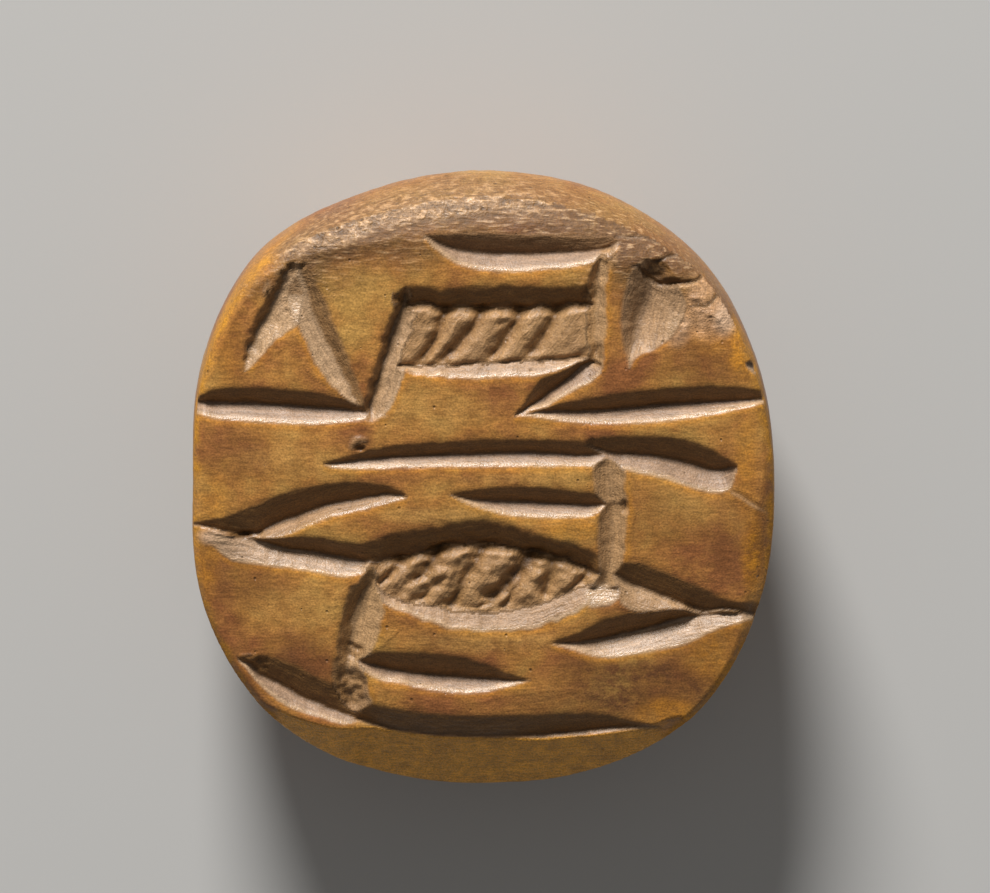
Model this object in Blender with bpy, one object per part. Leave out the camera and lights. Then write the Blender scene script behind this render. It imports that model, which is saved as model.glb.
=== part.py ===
"""Seal amulet of polished bone: a low button with a carved face, a domed back and a string hole.

It lies face up. +Z points out of the carved face, +Y to the top of the design and +X to its right.
The origin is the middle of the flat spot on the crown of the back, where the amulet rests.
"""

import math

import bmesh
import bpy
from mathutils import Vector

MM = 0.001

# Driving sizes of the button
WIDTH = 16.7 * MM
HEIGHT = 17.9 * MM
THICKNESS = 6.2 * MM
GIRDLE_DROP = 2.4 * MM  # from the face down to the widest level of the side
FACE_CROWN = 0.3 * MM  # how much lower the face is at its edge than in its middle
RIM_INSET = 0.2 * MM  # the rim of the face stands this far inside the widest level
REST_SPOT_WIDTH = 7.4 * MM

# The string hole runs across the design, under the carving
HOLE_DIAMETER = 1.6 * MM
HOLE_FLOOR = 1.8 * MM  # bone left under the hole
MOUTH_FLARE = 0.3 * MM  # each mouth is worn this much wider all round by the string
MOUTH_DEPTH = 0.7 * MM  # and the wear reaches this far in

# Plan of the rim: how far it stands out at sixteen compass points, from +X turning to +Y, as shares
# of a plain oval
RIM_FULLNESS = (
    0.992, 1.003, 1.020, 1.003, 0.990, 1.008, 1.055, 1.029,
    0.994, 1.034, 1.049, 1.034, 1.010, 1.026, 1.040, 1.018,
)  # fmt: skip

# Edge of the face, all round: a narrow rounding, and wider where it is worn or bevelled
EDGE_WIDTH = 0.3 * MM
EDGE_DROP = 0.3 * MM
# Each worn stretch: direction from the middle and half its spread in degrees, then added width and drop
WORN_EDGES = {
    "foot_bevel": (-91, 46, 1.75 * MM, 1.25 * MM),
    "head_wear": (84, 62, 1.0 * MM, 0.4 * MM),
    "side_bevel": (-14, 22, 0.5 * MM, 0.2 * MM),
}

# Carving. Places are hundredths of the half width and half height, from the middle of the face.
# A gouge lists start, middle and end of its deep line, the widths of the walls on the left and the
# right of its travel, its depth, and the shares of its length over which its start and end swell.
GOUGES = {
    # Upper figure
    "upper_bar": ((-20, 84), (12.5, 78.4), (46, 80.5), 0.46 * MM, 0.50 * MM, 0.45 * MM, 0.45, 0.10),
    "panel_left_leg": ((-38.5, 25.5), (-32.3, 46.5), (-26, 64), 0.33 * MM, 0.62 * MM, 0.48 * MM, 0.15, 0.10),
    "panel_right_edge": ((38.2, 40), (39, 59), (40, 78), 0.45 * MM, 0.25 * MM, 0.45 * MM, 0.15, 0.15),
    "panel_right_leg": ((11.5, 26), (25, 33.8), (38.5, 42), 0.33 * MM, 0.38 * MM, 0.40 * MM, 0.45, 0.15),
    "right_bar": ((14, 26.3), (57, 28.7), (102, 32), 0.46 * MM, 0.50 * MM, 0.48 * MM, 0.55, 0.30),
    "left_bar": ((-104, 30.3), (-68, 29), (-32.5, 25.7), 0.46 * MM, 0.53 * MM, 0.48 * MM, 0.18, 0.45),
    "chevron_left": ((-81.5, 40.5), (-73, 57), (-62, 74), 0.28 * MM, 0.62 * MM, 0.42 * MM, 0.60, 0.15),
    "chevron_right": ((-64, 72), (-55, 50.5), (-41.5, 26.7), 0.46 * MM, 0.50 * MM, 0.42 * MM, 0.20, 0.30),
    "leaf": ((49, 40.5), (54.2, 58.5), (58.5, 76), 0.62 * MM, 1.15 * MM, 0.55 * MM, 0.50, 0.35),
    "leaf_split": ((56, 73), (68, 69.5), (80, 74), 0.30 * MM, 0.30 * MM, 0.48 * MM, 0.30, 0.30),
    # Middle line
    "middle_line": ((-54.5, 9.3), (-8, 12.8), (42, 12.5), 0.38 * MM, 0.38 * MM, 0.38 * MM, 0.35, 0.10),
    "middle_line_tail": ((34, 13.5), (62, 11.8), (88.5, 4.8), 0.62 * MM, 0.68 * MM, 0.52 * MM, 0.35, 0.30),
    "tail_crease": ((84, 1.5), (90, -2), (96, -6), 0.10 * MM, 0.12 * MM, 0.10 * MM, 0.30, 0.50),
    # Lower figure
    "short_bar": ((-11, 0), (16, -3.2), (42, -4.3), 0.42 * MM, 0.44 * MM, 0.40 * MM, 0.45, 0.12),
    "upright_top": ((43.8, -5), (43, 3.5), (42.3, 12), 0.50 * MM, 0.52 * MM, 0.36 * MM, 0.12, 0.20),
    "upright_foot": ((43.5, -30), (44.3, -17), (43.7, -2), 0.48 * MM, 0.50 * MM, 0.38 * MM, 0.20, 0.12),
    "brow": ((-97, -15), (-62.5, -6), (-25, 0.4), 0.84 * MM, 0.42 * MM, 0.55 * MM, 0.35, 0.60),
    "mouth": ((-101, -13), (-68, -18), (-34, -22.8), 0.46 * MM, 0.56 * MM, 0.50 * MM, 0.35, 0.20),
    "snout_top": ((41.5, -25.5), (66, -34), (100, -37.4), 0.62 * MM, 0.30 * MM, 0.50 * MM, 0.20, 0.45),
    "snout_foot": ((23.5, -50), (55.5, -45), (97.5, -38.5), 0.50 * MM, 0.72 * MM, 0.55 * MM, 0.50, 0.30),
    "leg_top": ((-45.7, -58.5), (-42.9, -42), (-36, -26), 0.52 * MM, 0.60 * MM, 0.50 * MM, 0.20, 0.25),
    "leg_foot": ((-45, -75.5), (-46.3, -65.5), (-45.7, -54), 0.50 * MM, 0.50 * MM, 0.50 * MM, 0.25, 0.20),
    "low_bar": ((-46.5, -54.3), (-18.3, -60), (16.5, -61.4), 0.64 * MM, 0.47 * MM, 0.50 * MM, 0.20, 0.60),
    "foot_left": ((-80.5, -55), (-62.5, -66), (-36, -77), 0.50 * MM, 0.30 * MM, 0.42 * MM, 0.35, 0.35),
    "foot_line": ((-48, -71.5), (2, -81), (59, -75.5), 0.74 * MM, 0.22 * MM, 0.58 * MM, 0.25, 0.45),
}

# A hatched field is sunk between two deep lines, each with its wall width and depth. Its hatching
# strokes run from their feet to their heads.
FIELDS = {
    "panel": {
        "upper": ((-26.5, 62), (5, 61.6), (38.5, 63.6), 0.55 * MM, 0.58 * MM),
        "lower": ((-26.5, 41), (3, 42.4), (38, 45), 0.47 * MM, 0.36 * MM),
        "swell": (0.08, 0.08),
        "feet": ((-21.5, 42.5), (-14.5, 42.5), (-0.8, 43), (13.3, 43.5)),
        "heads": ((-14, 60.5), (-0.7, 60.5), (13, 60.5), (25, 60.5)),
    },
    "lens": {
        "upper": ((-44, -23.5), (0.5, -15.8), (43, -27), 0.64 * MM, 0.58 * MM),
        "lower": ((-42, -29.5), (2.5, -41), (42, -29.5), 0.42 * MM, 0.42 * MM),
        "swell": (0.14, 0.30),
        "feet": ((-36, -30.5), (-24.5, -32.5), (-11, -38.5), (2, -36.5), (21, -36), (28, -34)),
        "heads": ((-28.5, -22), (-13, -19), (0.5, -19), (16.5, -19.5), (24.5, -23.5), (37, -26)),
    },
}

HATCH_WALL = 0.17 * MM
HATCH_DEPTH = 0.17 * MM  # below the floor of the field
HATCH_SWELL = (0.3, 0.3)

# How finely the surfaces are faceted
RIM_SEGMENTS = 80
FACE_RINGS = (0.4, 0.75)
DOME_STEPS = 6
GOUGE_STATIONS = 13
HATCH_STATIONS = 5
FIELD_STATIONS = 13
HOLE_SEGMENTS = 20
CUTTER_RISE = 0.5 * MM  # cutters stand this far out of the face
TIP_LIFT = 0.02 * MM  # the tip of a cut ends this far above the face

BONE_COLOUR = (0.46, 0.26, 0.085, 1.0)  # polished, honey brown
BONE_ROUGHNESS = 0.42


def clear_scene():
    for obj in list(bpy.data.objects):
        bpy.data.objects.remove(obj)


def bone_material():
    material = bpy.data.materials.new("polished_bone")
    material.use_nodes = True
    shader = material.node_tree.nodes["Principled BSDF"]
    shader.inputs["Base Color"].default_value = BONE_COLOUR
    shader.inputs["Roughness"].default_value = BONE_ROUGHNESS
    shader.inputs["Metallic"].default_value = 0.0
    return material


# Plan and section of the button


def fullness(angle):
    """The rim's share at an angle, by a smooth curve through the sixteen compass points."""
    count = len(RIM_FULLNESS)
    place = (angle / math.tau * count) % count
    index = int(place)
    t = place - index
    before, here, after, beyond = (RIM_FULLNESS[(index + k) % count] for k in (-1, 0, 1, 2))
    slope_here = (after - before) / 2
    slope_after = (beyond - here) / 2
    blend = t * t * (3 - 2 * t)
    ease_in = t * (1 - t) ** 2
    ease_out = -t * t * (1 - t)
    return here + (after - here) * blend + slope_here * ease_in + slope_after * ease_out


def rim_outline():
    """Plan of the widest level, scaled and centred so that it is exactly WIDTH by HEIGHT."""
    points = []
    for k in range(RIM_SEGMENTS):
        angle = math.tau * k / RIM_SEGMENTS
        oval = 1 / math.hypot(math.cos(angle) / WIDTH, math.sin(angle) / HEIGHT)
        points.append(Vector((math.cos(angle), math.sin(angle))) * oval * fullness(angle) / 2)
    low = Vector((min(p.x for p in points), min(p.y for p in points)))
    high = Vector((max(p.x for p in points), max(p.y for p in points)))
    middle = (low + high) / 2
    span = high - low
    centred = [p - middle for p in points]
    return [Vector((p.x * WIDTH / span.x, p.y * HEIGHT / span.y)) for p in centred]


def face_height(x, y):
    """Height of the crowned face before its edge and the carving are cut."""
    return THICKNESS - FACE_CROWN * ((2 * x / WIDTH) ** 2 + (2 * y / HEIGHT) ** 2)


def edge_sizes(point):
    """Width and drop of the rounded or bevelled edge of the face, beside a rim point."""
    width, drop = EDGE_WIDTH, EDGE_DROP
    direction = math.degrees(math.atan2(point.y, point.x))
    for middle, spread, more_width, more_drop in WORN_EDGES.values():
        away = abs((direction - middle + 180) % 360 - 180) / spread
        if away < 1:
            share = math.cos(away * math.pi / 2) ** 2
            width += more_width * share
            drop += more_drop * share
    return width, drop


def raised(plan, height):
    return Vector((plan.x, plan.y, height))


def moved_in(point, distance):
    return point * (1 - distance / point.length)


def section_rings(outline):
    """Rings of vertices from the middle of the face over the rim and the side to the rest spot."""
    edges = [edge_sizes(p) for p in outline]
    starts = [moved_in(p, RIM_INSET + width) for p, (width, _) in zip(outline, edges)]
    rims = [moved_in(p, RIM_INSET) for p in outline]
    rings = []
    for share in FACE_RINGS + (1.0,):
        places = [s * share for s in starts]
        rings.append([raised(p, face_height(p.x, p.y)) for p in places])
    for along, down in ((0.55, 0.4), (1.0, 1.0)):
        ring = []
        for start, rim, (_, drop) in zip(starts, rims, edges):
            place = start.lerp(rim, along)
            ring.append(raised(place, face_height(place.x, place.y) - drop * down))
        rings.append(ring)
    girdle = THICKNESS - GIRDLE_DROP
    rest_share = REST_SPOT_WIDTH / WIDTH
    for step in range(DOME_STEPS + 1):
        turn = math.pi / 2 * step / DOME_STEPS
        share = rest_share + (1 - rest_share) * math.cos(turn)
        height = girdle * (1 - math.sin(turn))
        rings.append([raised(p * share, height) for p in outline])
    return rings


def button_mesh():
    bm = bmesh.new()
    rings = [[bm.verts.new(v) for v in ring] for ring in section_rings(rim_outline())]
    top = bm.verts.new((0, 0, THICKNESS))
    for k in range(RIM_SEGMENTS):
        after = (k + 1) % RIM_SEGMENTS
        bm.faces.new((top, rings[0][k], rings[0][after]))
        for upper, lower in zip(rings, rings[1:]):
            bm.faces.new((upper[k], lower[k], lower[after], upper[after]))
    bm.faces.new(reversed(rings[-1]))
    return finished_mesh(bm, "button")


def finished_mesh(bm, name):
    bmesh.ops.recalc_face_normals(bm, faces=bm.faces)
    mesh = bpy.data.meshes.new(name)
    bm.to_mesh(mesh)
    bm.free()
    return mesh


# Carving


def on_face(place):
    """A place in hundredths of the half face, as plan coordinates."""
    return Vector((place[0] * WIDTH, place[1] * HEIGHT)) / 200


def through(start, middle, end, t):
    """Point of the parabola that passes start, middle and end at t = 0, 0.5 and 1."""
    return start * (1 - t) * (1 - 2 * t) + middle * 4 * t * (1 - t) + end * t * (2 * t - 1)


def swelling(t, start_share, end_share):
    """From 0 at the tips of a cut to 1 where it is fully open."""
    rise = min(1.0, t / start_share, (1 - t) / end_share)
    return math.sin(max(0.0, rise) * math.pi / 2) ** 0.8


def deep_line(places, count):
    """Point and left-hand direction at each station of a deep line."""
    start, middle, end = (on_face(p) for p in places)
    line = []
    for k in range(count):
        t = 0.5 - math.cos(math.pi * k / (count - 1)) / 2
        step = 1e-3
        ahead = through(start, middle, end, t + step) - through(start, middle, end, t - step)
        left = Vector((-ahead.y, ahead.x)).normalized()
        line.append((t, through(start, middle, end, t), left))
    return line


def loft(sections, name):
    """Closed solid through a row of sections, each a list of the same number of points."""
    bm = bmesh.new()
    rings = [[bm.verts.new(v) for v in section] for section in sections]
    count = len(rings[0])
    for one, other in zip(rings, rings[1:]):
        for k in range(count):
            after = (k + 1) % count
            bm.faces.new((one[k], one[after], other[after], other[k]))
    bm.faces.new(rings[0])
    bm.faces.new(rings[-1])
    return finished_mesh(bm, name)


def gouge_sections(places, walls, depth, swell, count, floor_drop=0.0):
    """V sections along a deep line. floor_drop lowers the cut to work in the floor of a field."""
    left_wall, right_wall = walls
    flare_left = left_wall / depth * CUTTER_RISE
    flare_right = right_wall / depth * CUTTER_RISE
    sections = []
    for t, point, left in deep_line(places, count):
        open_share = swelling(t, *swell)
        level = face_height(point.x, point.y) - floor_drop
        sections.append([
            raised(point + left * (left_wall * open_share + flare_left), level + CUTTER_RISE),
            raised(point, level + TIP_LIFT - (depth + TIP_LIFT) * open_share),
            raised(point - left * (right_wall * open_share + flare_right), level + CUTTER_RISE),
        ])  # fmt: skip
    return sections


def field_sections(upper, lower, swell):
    """Sections of a field: a wall down to the upper deep line, the floor, a wall up from the lower."""
    *upper_places, upper_wall, upper_depth = upper
    *lower_places, lower_wall, lower_depth = lower
    sections = []
    upper_line = deep_line(upper_places, FIELD_STATIONS)
    lower_line = deep_line(lower_places, FIELD_STATIONS)
    for (t, high, up), (_, low, _) in zip(upper_line, lower_line):
        open_share = swelling(t, *swell)
        high_level = face_height(high.x, high.y)
        low_level = face_height(low.x, low.y)
        wall_up = upper_wall * open_share + upper_wall / upper_depth * CUTTER_RISE
        wall_down = lower_wall * open_share + lower_wall / lower_depth * CUTTER_RISE
        sections.append([
            raised(high + up * wall_up, high_level + CUTTER_RISE),
            raised(high, high_level + TIP_LIFT - (upper_depth + TIP_LIFT) * open_share),
            raised(low, low_level + TIP_LIFT - (lower_depth + TIP_LIFT) * open_share),
            raised(low - up * wall_down, low_level + CUTTER_RISE),
        ])  # fmt: skip
    return sections


def hatch_sections(foot, head, field_depth):
    """A short V stroke in the floor of a field."""
    middle = ((foot[0] + head[0]) / 2, (foot[1] + head[1]) / 2)
    walls = (HATCH_WALL, HATCH_WALL)
    return gouge_sections((foot, middle, head), walls, HATCH_DEPTH, HATCH_SWELL, HATCH_STATIONS, field_depth)


def add_cutter(cutters, mesh):
    obj = bpy.data.objects.new("cut_" + mesh.name, mesh)
    obj.hide_render = True
    obj.display_type = "WIRE"
    cutters.objects.link(obj)


def hole_mesh():
    """Drill with a flared collar at each end, along X."""
    height = HOLE_FLOOR + HOLE_DIAMETER / 2
    bore = HOLE_DIAMETER / 2
    inner = WIDTH / 2 - MOUTH_DEPTH
    outer = WIDTH / 2 + MOUTH_DEPTH
    collar = bore + 2 * MOUTH_FLARE
    turns = [math.tau * k / HOLE_SEGMENTS for k in range(HOLE_SEGMENTS)]
    sections = []
    for x, radius in ((-outer, collar), (-inner, bore), (inner, bore), (outer, collar)):
        sections.append([Vector((x, radius * math.cos(a), height + radius * math.sin(a))) for a in turns])
    return loft(sections, "string_hole")


def cut_with(obj, cutters):
    modifier = obj.modifiers.new("carving", "BOOLEAN")
    modifier.operation = "DIFFERENCE"
    modifier.solver = "EXACT"
    modifier.operand_type = "COLLECTION"
    modifier.collection = cutters


def add_field(cutters, name, field):
    upper, lower = field["upper"], field["lower"]
    add_cutter(cutters, loft(field_sections(upper, lower, field["swell"]), name))
    floor = (upper[-1] + lower[-1]) / 2
    for number, (foot, head) in enumerate(zip(field["feet"], field["heads"]), 1):
        add_cutter(cutters, loft(hatch_sections(foot, head, floor), f"{name}_hatch_{number}"))


def main():
    clear_scene()
    cutters = bpy.data.collections.new("cutters")
    bpy.context.scene.collection.children.link(cutters)
    for name, (*places, left, right, depth, start_share, end_share) in GOUGES.items():
        swell = (start_share, end_share)
        add_cutter(cutters, loft(gouge_sections(places, (left, right), depth, swell, GOUGE_STATIONS), name))
    for name, field in FIELDS.items():
        add_field(cutters, name, field)
    add_cutter(cutters, hole_mesh())

    amulet = bpy.data.objects.new("seal_amulet", button_mesh())
    amulet.data.materials.append(bone_material())
    amulet.data.shade_smooth()
    amulet.data.set_sharp_from_angle(angle=math.radians(30))
    bpy.context.scene.collection.objects.link(amulet)
    cut_with(amulet, cutters)


main()
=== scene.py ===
# Seal amulet of polished bone, lying face up on a pale floor.
# The CAD solid gives size and place. Here it gets its carved surface, its finish, a camera and light.

import math
from functools import partial

import bmesh
import bpy
import numpy as np
from mathutils import Matrix, Vector


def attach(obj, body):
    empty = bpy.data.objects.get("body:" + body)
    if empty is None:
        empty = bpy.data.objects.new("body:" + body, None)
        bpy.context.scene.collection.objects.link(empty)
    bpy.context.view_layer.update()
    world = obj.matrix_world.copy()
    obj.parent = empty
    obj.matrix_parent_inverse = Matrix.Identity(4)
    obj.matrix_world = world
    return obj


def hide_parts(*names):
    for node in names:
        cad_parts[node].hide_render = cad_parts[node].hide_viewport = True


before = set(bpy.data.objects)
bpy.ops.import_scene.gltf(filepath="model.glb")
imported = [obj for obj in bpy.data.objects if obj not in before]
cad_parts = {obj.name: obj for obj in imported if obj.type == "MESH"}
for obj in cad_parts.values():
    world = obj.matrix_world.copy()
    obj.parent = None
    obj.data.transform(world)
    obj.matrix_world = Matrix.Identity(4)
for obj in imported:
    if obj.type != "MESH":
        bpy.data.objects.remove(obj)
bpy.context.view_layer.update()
print("frame loaded:", sorted(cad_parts))

mm = 0.001


def linearColour(hexCode):
    # sRGB hex to linear: c / 12.92 below 0.04045, else ((c + 0.055) / 1.055) ^ 2.4
    parts = [int(hexCode[k : k + 2], 16) / 255 for k in (1, 3, 5)]
    return tuple(c / 12.92 if c <= 0.04045 else ((c + 0.055) / 1.055) ** 2.4 for c in parts) + (1.0,)


# Camera

camera = {
    "tilt": 12.0,  # degrees between the view and the face's normal, towards the head of the design
    "distance": 400.0,  # mm
    "sensor": 36.0,  # mm
    "picture": (990, 893),  # pixels
    "scale": 35.0,  # pixels to the mm at the girdle
    "seenMiddle": (483.5, 478.0),  # where the picture shows the middle of the girdle
    "girdle": 3.8,  # height of the girdle, mm
}


def makeCamera(c):
    # The view direction and the picture's up vector are (0, sin t, cos t) and (0, cos t, -sin t).
    tilt = math.radians(c["tilt"])
    towards = Vector((0, math.sin(tilt), math.cos(tilt)))
    up = Vector((0, math.cos(tilt), -math.sin(tilt)))
    right = Vector((1, 0, 0))
    offX = (c["picture"][0] / 2 - c["seenMiddle"][0]) / c["scale"]
    offY = (c["seenMiddle"][1] - c["picture"][1] / 2) / c["scale"]
    aim = Vector((0, 0, c["girdle"])) + right * offX + up * offY
    data = bpy.data.cameras.new("pictureCamera")
    data.sensor_width = c["sensor"]
    data.lens = c["sensor"] * c["distance"] * c["scale"] / c["picture"][0]
    data.clip_start = 0.01
    data.clip_end = 10.0
    obj = bpy.data.objects.new("pictureCamera", data)
    turn = Matrix((right, up, towards)).transposed().to_4x4()
    obj.matrix_world = Matrix.Translation((aim + towards * c["distance"]) * mm) @ turn
    bpy.context.scene.collection.objects.link(obj)
    bpy.context.scene.camera = obj


makeCamera(camera)
print("camera placed")


# Noise and curves for the surface

flatCells = 256  # cells after which the flat noise repeats
solidCells = 32  # and the noise in space


def smoothNoise(x, y, seed):
    # Value noise, -1 to 1, one lattice cell to the unit: four corner values mixed with 3t^2 - 2t^3.
    table = np.random.default_rng(seed).uniform(-1, 1, (flatCells, flatCells))
    cellX, cellY = np.floor(x).astype(int), np.floor(y).astype(int)
    tx, ty = x - cellX, y - cellY
    tx, ty = tx * tx * (3 - 2 * tx), ty * ty * (3 - 2 * ty)
    a, b, c, d = (table[(cellY + j) % flatCells, (cellX + i) % flatCells] for j in (0, 1) for i in (0, 1))
    return (a * (1 - tx) + b * tx) * (1 - ty) + (c * (1 - tx) + d * tx) * ty


def layeredNoise(x, y, seed, layers=3):
    # Sum of smooth noises, each twice as fine and half as strong as the one before.
    total = sum(smoothNoise(x * 2**k, y * 2**k, seed + k) / 2**k for k in range(layers))
    return total / (2 - 2.0 ** (1 - layers))


def solidNoise(x, y, z, size, seed, layers=3):
    # The same in space, so that it runs on over an edge: eight corner values, size in mm.
    table = np.random.default_rng(seed).uniform(-1, 1, (solidCells,) * 3)
    total = 0
    for k in range(layers):
        places = [axis / size * 2**k + 7.3 * k for axis in (x, y, z)]
        cells = [np.floor(p).astype(int) for p in places]
        fx, fy, fz = [(p - c) ** 2 * (3 - 2 * (p - c)) for p, c in zip(places, cells)]
        value = 0
        for corner in ((i, j, l) for i in (0, 1) for j in (0, 1) for l in (0, 1)):
            i, j, l = corner
            share = (fx if i else 1 - fx) * (fy if j else 1 - fy) * (fz if l else 1 - fz)
            value = value + share * table[tuple((c + step) % solidCells for c, step in zip(cells, corner))]
        total = total + value / 2**k
    return total / (2 - 2.0 ** (1 - layers))


def smoothStep(low, high, value):
    # 3t^2 - 2t^3 of t, the value's place between low and high
    t = np.clip((value - low) / (high - low), 0, 1)
    return t * t * (3 - 2 * t)


def between(value, start, full, fading, end):
    # A smooth step up from start to full, times one down from fading to end
    return smoothStep(start, full, value) * smoothStep(end, fading, value)


def cubic(a, b, slopeA, slopeB, t):
    # a + (b - a)(3t^2 - 2t^3) + slope at a * t (1 - t)^2 - slope at b * t^2 (1 - t)
    return a + (b - a) * t * t * (3 - 2 * t) + slopeA * t * (1 - t) ** 2 - slopeB * t * t * (1 - t)


def curveAt(places, values, at):
    # Cubic through the values, with the slope at each place that of its two neighbours' chord.
    places, values = np.asarray(places, float), np.asarray(values, float)
    slopes = np.gradient(values, places)
    k = np.clip(np.searchsorted(places, at) - 1, 0, len(places) - 2)
    span = places[k + 1] - places[k]
    t = np.clip((at - places[k]) / span, 0, 1)
    return cubic(values[k], values[k + 1], span * slopes[k], span * slopes[k + 1], t)


def ovalAway(px, py, x, y, halfX, halfY):
    # Distance from the middle of an oval, 1 on its outline
    return np.hypot((px - x) / halfX, (py - y) / halfY)


# The amulet's body

button = {
    "width": 16.7,  # all sizes in mm
    "height": 17.9,
    "thick": 6.2,
    "girdle": 3.8,
    "crown": 0.3,  # how much lower the face is at its edge
    "rimInset": 0.10,
    "headInset": 0.35,  # the worn head rolls over more softly
    "headSpread": (40, 75, 105, 140),  # directions where that starts, is full, fades and ends, in degrees
    "restWidth": 7.4,
    "edge": (0.24, 0.2),  # width and drop of the rounded edge
    "edgePower": 1.5,  # how round it is, where 1 is a flat bevel
    # worn stretches of the edge: direction and half spread in degrees, added width and drop
    "wornEdges": ((84, 62, 1.0, 0.4), (-14, 22, 0.5, 0.2)),
    "bevelSlope": 0.78,
    "bevelPower": 1.0,
    # how far the rim stands out at sixteen compass points, as shares of a plain oval
    "fullness": (0.992, 1.003, 1.020, 1.003, 0.990, 1.008, 1.055, 1.029,
                 0.994, 1.034, 1.049, 1.034, 1.010, 1.026, 1.040, 1.018),
    "holeWidth": 1.6,
    "holeFloor": 1.8,
    "holeSides": 40,
    "mouthFlare": 0.3,
    "mouthDepth": 0.7,
    "mouthShape": (2.2, 1.0, 0.3, 0.0),  # shares of the flare, from outside the mouth to its depth
    # the bevel at the foot starts at this border, in picture pixels from left to right
    "bevelBorder": ((262, 700), (283, 711), (330, 726), (375, 729), (420, 736.5), (500, 740), (570, 737.5),
                    (620, 732), (655, 723), (672, 712)),
    "gridX": 288,  # faces across and along the whole surface
    "gridY": 328,
    "faceShare": 0.885,  # share of the grid's radius that the face takes
    "girdleShare": 0.4,  # share of the rest that runs from the rim to the girdle
}

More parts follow.
